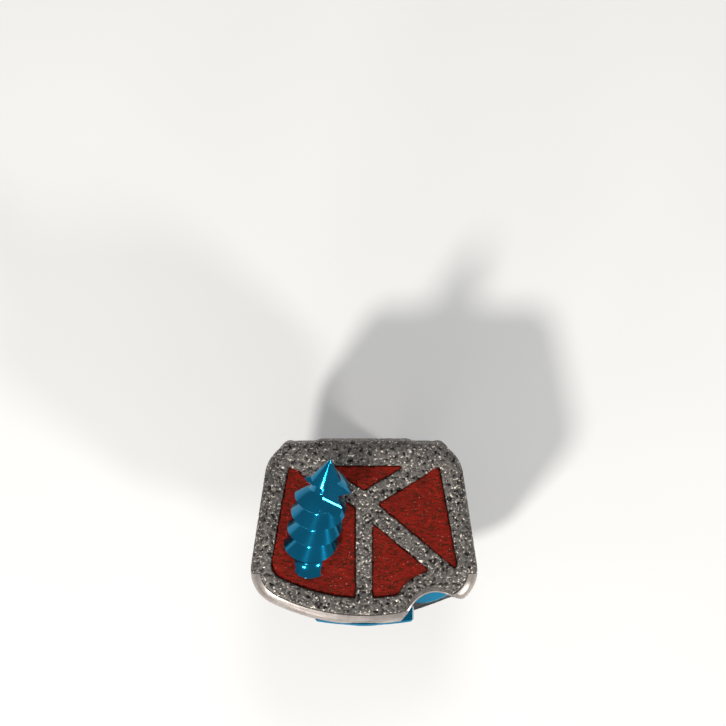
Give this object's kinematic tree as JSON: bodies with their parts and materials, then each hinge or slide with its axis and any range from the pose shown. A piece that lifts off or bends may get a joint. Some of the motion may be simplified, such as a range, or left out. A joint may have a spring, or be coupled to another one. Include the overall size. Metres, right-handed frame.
{
  "type": "spinal interbody cage",
  "caption": "Stand-alone cervical interbody cage: porous wedge with a smooth front, struts round packed graft, crossed bone screws and a turning lock",
  "frame": {"origin": "middle of the whole implant's box, at mid-height of the cage", "axes": "+Z superior, -Y anterior where the lock is, +X the patient's left-right direction with the lower screw on the +X side"},
  "size_m": [0.015, 0.0124, 0.0186],
  "materials": {
    "printed_titanium": "sintered open lattice, satin smooth at the front",
    "blue_titanium": "glossy blue anodised",
    "bare_titanium": "turned, bare",
    "bone_graft": "moist packed granules, dark red"
  },
  "bodies": {
    "cage": {"cage_body": "printed_titanium", "upper_screw": "blue_titanium", "lower_screw": "blue_titanium", "lock_pin": "bare_titanium", "left_graft": "bone_graft", "right_graft": "bone_graft", "rear_graft": "bone_graft"},
    "lock": {"lock_cam": "blue_titanium"}
  },
  "joints": [
    {"name": "lock_turn", "type": "hinge", "parent": "cage", "child": "lock", "pos_m": [0, -0.00495, 0], "axis": [0, 1, 0], "range_deg": [0, 90]}
  ]
}
